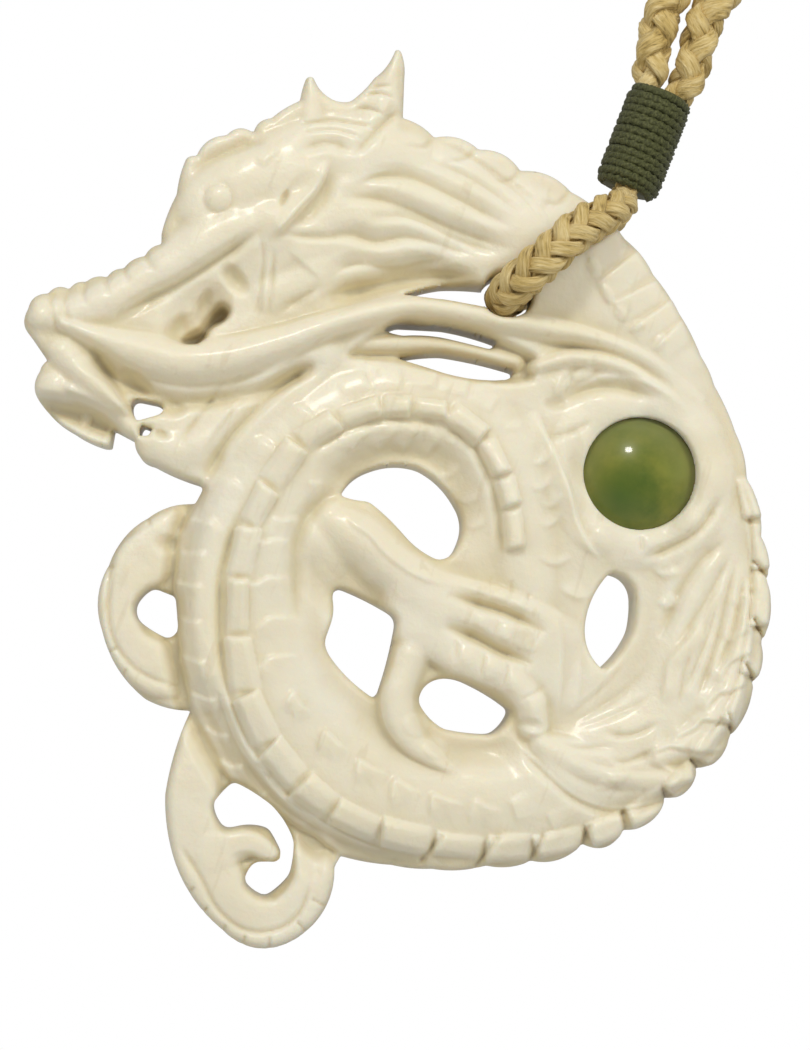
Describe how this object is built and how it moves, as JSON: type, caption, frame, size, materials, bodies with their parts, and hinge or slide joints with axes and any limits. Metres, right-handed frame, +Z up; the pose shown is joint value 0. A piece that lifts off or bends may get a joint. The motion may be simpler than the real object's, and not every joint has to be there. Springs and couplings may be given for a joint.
{
  "type": "carved bone dragon pendant on a braided neck cord",
  "caption": "Pierced bone carving of a coiled dragon holding a round green stone, hung on a braided cord loop bound with thread.",
  "frame": {"origin": "where the cord lies on the nape", "axes": "+Z up as worn, -Y towards the front that the carving faces, +X to the viewer's right"},
  "size_m": [0.1248, 0.1294, 0.2515],
  "materials": {
    "bone": "polished cattle bone, warm in the cuts",
    "jade": "glossy domed green jade",
    "braid": "waxed braided tan cord",
    "thread": "dark olive green waxed thread"
  },
  "bodies": {
    "root": {"carved_dragon": "bone", "jade_stone": "jade", "pendant_loop": "braid", "neck_cord": "braid", "cord_whipping": "thread"}
  },
  "joints": []
}
